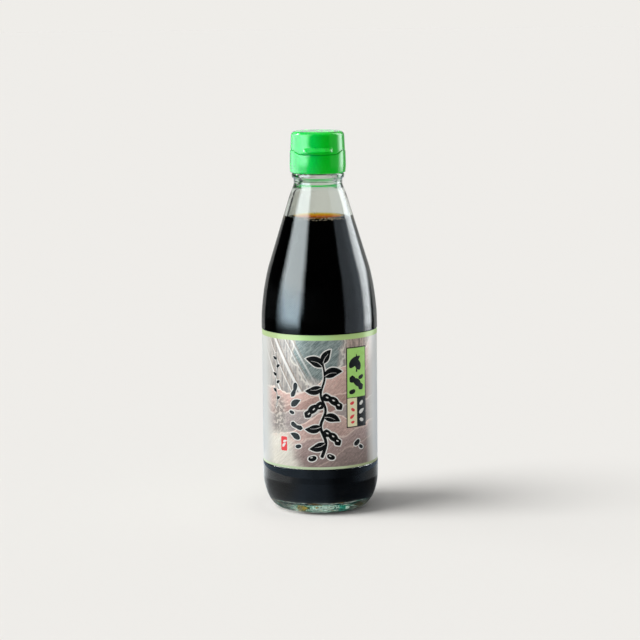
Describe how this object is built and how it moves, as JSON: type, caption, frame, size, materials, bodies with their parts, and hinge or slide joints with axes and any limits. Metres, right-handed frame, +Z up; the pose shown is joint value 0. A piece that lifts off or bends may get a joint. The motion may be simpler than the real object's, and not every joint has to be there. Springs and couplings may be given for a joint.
{
  "type": "soy sauce bottle",
  "caption": "Clear glass table bottle of soy sauce with a conical shoulder, a wrap-around label and a shut green hinged cap with a thumb ledge.",
  "frame": {"origin": "centre of the resting ring, on the bottle's axis, at the surface it stands on", "axes": "+Z up along the bottle's axis, -Y towards the front, where the cap's thumb ledge is, +X to the right seen from the front"},
  "size_m": [0.0652, 0.0652, 0.213],
  "materials": {
    "clear_glass": "polished, clear with a faint green tint",
    "soy_sauce": "still dark brown liquid, near black in depth",
    "printed_label": "satin printed film",
    "green_plastic": "glossy moulded"
  },
  "bodies": {
    "root": {"glass_bottle": "clear_glass", "soy_sauce": "soy_sauce", "label_sleeve": "printed_label", "cap_base": "green_plastic", "cap_lid": "green_plastic"}
  },
  "joints": []
}
